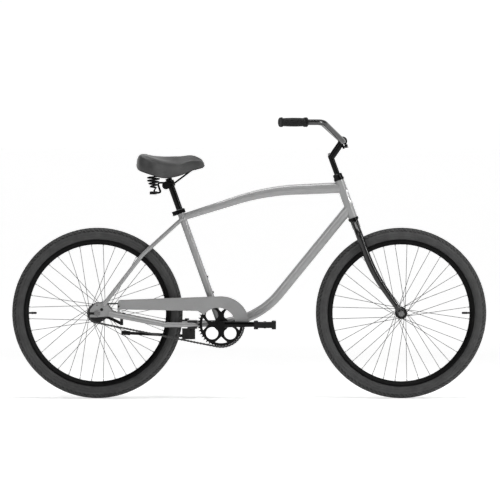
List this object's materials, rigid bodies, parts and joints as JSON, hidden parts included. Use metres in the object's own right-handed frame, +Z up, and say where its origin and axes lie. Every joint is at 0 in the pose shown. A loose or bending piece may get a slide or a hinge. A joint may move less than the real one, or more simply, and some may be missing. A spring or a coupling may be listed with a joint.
{
  "type": "beach cruiser bicycle",
  "caption": "Beach cruiser bicycle with a swept frame, balloon tyres, sprung wide saddle, swept-back handlebar, chain guard, coaster brake and kickstand.",
  "frame": {"origin": "on the ground, on the bicycle's mid-plane, halfway between the two axles", "axes": "+X forward, +Y to the rider's left, +Z up; the drive side faces -Y"},
  "size_m": [1.849, 0.6896, 1.095],
  "materials": {
    "frame_paint": "satin grey paint",
    "guard_paint": "matte grey paint",
    "fork_paint": "gloss black paint",
    "black_metal": "black paint over steel",
    "rim_paint": "black anodised aluminium",
    "tyre_rubber": "dark grey rubber",
    "tube_rubber": "black butyl rubber",
    "bright_steel": "plated steel",
    "hub_metal": "black plated steel",
    "bar_chrome": "dark chrome plate",
    "grip_rubber": "black rubber",
    "pedal_plastic": "black moulded plastic",
    "saddle_vinyl": "black vinyl over foam",
    "pan_plastic": "black moulded plastic"
  },
  "bodies": {
    "frame": {"head_tube": "frame_paint", "top_tube": "frame_paint", "down_tube": "frame_paint", "seat_tube": "frame_paint", "bottom_bracket_shell": "frame_paint", "right_chainstay": "frame_paint", "left_chainstay": "frame_paint", "right_seatstay": "frame_paint", "left_seatstay": "frame_paint", "rear_dropouts": "frame_paint", "seatstay_bridge": "frame_paint", "headset_cups": "black_metal", "bottom_bracket_cups": "black_metal", "chain_guard": "guard_paint", "chain_guard_bracket": "black_metal", "frame_screws": "bright_steel", "seat_clamp": "black_metal", "seat_skewer": "bright_steel", "rear_axle": "bright_steel", "brake_arm": "bright_steel", "kickstand_bracket": "black_metal", "chain": "bright_steel"},
    "fork": {"fork_steerer": "fork_paint", "right_fork_blade": "fork_paint", "left_fork_blade": "fork_paint", "headset_races": "black_metal", "front_axle": "bright_steel"},
    "stem": {"stem": "black_metal", "stem_bolts": "bright_steel"},
    "handlebar": {"handlebar": "bar_chrome", "right_grip": "grip_rubber", "left_grip": "grip_rubber"},
    "front_wheel": {"front_tyre": "tyre_rubber", "front_inner_tube": "tube_rubber", "front_rim": "rim_paint", "front_spokes": "bright_steel", "front_hub": "hub_metal", "front_hub_balls": "bright_steel"},
    "rear_wheel": {"rear_tyre": "tyre_rubber", "rear_inner_tube": "tube_rubber", "rear_rim": "rim_paint", "rear_spokes": "bright_steel", "rear_hub": "hub_metal", "rear_hub_balls": "bright_steel"},
    "crank": {"crank": "black_metal", "chainring": "black_metal", "bottom_bracket_balls": "bright_steel"},
    "rear_sprocket": {"rear_sprocket": "bright_steel"},
    "right_pedal": {"right_pedal": "pedal_plastic"},
    "left_pedal": {"left_pedal": "pedal_plastic"},
    "kickstand": {"kickstand_leg": "black_metal", "kickstand_foot": "grip_rubber"},
    "seat_post": {"seat_post": "black_metal", "saddle_clamp": "black_metal"},
    "saddle_frame": {"rail_clamps": "black_metal", "saddle_rails": "black_metal", "saddle_springs": "bright_steel"},
    "saddle": {"saddle_base": "pan_plastic", "saddle_cover": "saddle_vinyl"},
    "seat_lever": {"seat_lever": "bright_steel"}
  },
  "joints": [
    {"name": "steering", "type": "hinge", "parent": "frame", "child": "fork", "pos_m": [0.4043, 0, 0.7037], "axis": [-0.342, 0, 0.9397], "range_deg": [-80, 80]},
    {"name": "stem_height", "type": "slide", "parent": "fork", "child": "stem", "axis": [-0.342, 0, 0.9397], "range_m": [-0.04, 0.02]},
    {"name": "handlebar_tilt", "type": "hinge", "parent": "stem", "child": "handlebar", "pos_m": [0.3635, 0, 1.0025], "axis": [0, 1, 0], "range_deg": [-20, 20]},
    {"name": "front_wheel_spin", "type": "hinge", "parent": "fork", "child": "front_wheel", "pos_m": [0.592, 0, 0.3325], "axis": [0, 1, 0], "continuous": true},
    {"name": "rear_wheel_spin", "type": "hinge", "parent": "frame", "child": "rear_wheel", "pos_m": [-0.592, 0, 0.3325], "axis": [0, 1, 0], "continuous": true},
    {"name": "crank_spin", "type": "hinge", "parent": "frame", "child": "crank", "pos_m": [-0.1093, 0, 0.2902], "axis": [0, 1, 0], "continuous": true, "deforming": ["chain"]},
    {"name": "sprocket_spin", "type": "hinge", "parent": "frame", "child": "rear_sprocket", "pos_m": [-0.592, 0, 0.3325], "axis": [0, 1, 0], "continuous": true},
    {"name": "right_pedal_spin", "type": "hinge", "parent": "crank", "child": "right_pedal", "pos_m": [0.0607, -0.118, 0.2902], "axis": [0, 1, 0], "continuous": true},
    {"name": "left_pedal_spin", "type": "hinge", "parent": "crank", "child": "left_pedal", "pos_m": [-0.2793, 0.118, 0.2902], "axis": [0, 1, 0], "continuous": true},
    {"name": "kickstand_swing", "type": "hinge", "parent": "frame", "child": "kickstand", "pos_m": [-0.251, 0.0273, 0.24], "axis": [0.1067, -0.9834, -0.1469], "range_deg": [0, 75.78]},
    {"name": "seat_height", "type": "slide", "parent": "frame", "child": "seat_post", "axis": [-0.3371, 0, 0.9415], "range_m": [-0.08, 0.12]},
    {"name": "saddle_tilt", "type": "hinge", "parent": "seat_post", "child": "saddle_frame", "pos_m": [-0.3238, 0, 0.83], "axis": [0, 1, 0], "range_deg": [-10, 15]},
    {"name": "saddle_bounce", "type": "hinge", "parent": "saddle_frame", "child": "saddle", "pos_m": [-0.214, 0, 0.897], "axis": [0, -1, 0], "range_deg": [0, 4], "stiffness_Nm_per_rad": 1150, "springref_deg": -0.23, "deforming": ["saddle_springs"]},
    {"name": "seat_lever_swing", "type": "hinge", "parent": "frame", "child": "seat_lever", "pos_m": [-0.29351, -0.01815, 0.71912], "axis": [0.3371, 0, -0.9415], "range_deg": [0, 140]}
  ],
  "couplings": [
    {"joint": "sprocket_spin", "follows": "crank_spin", "ratio": 2.4444}
  ]
}
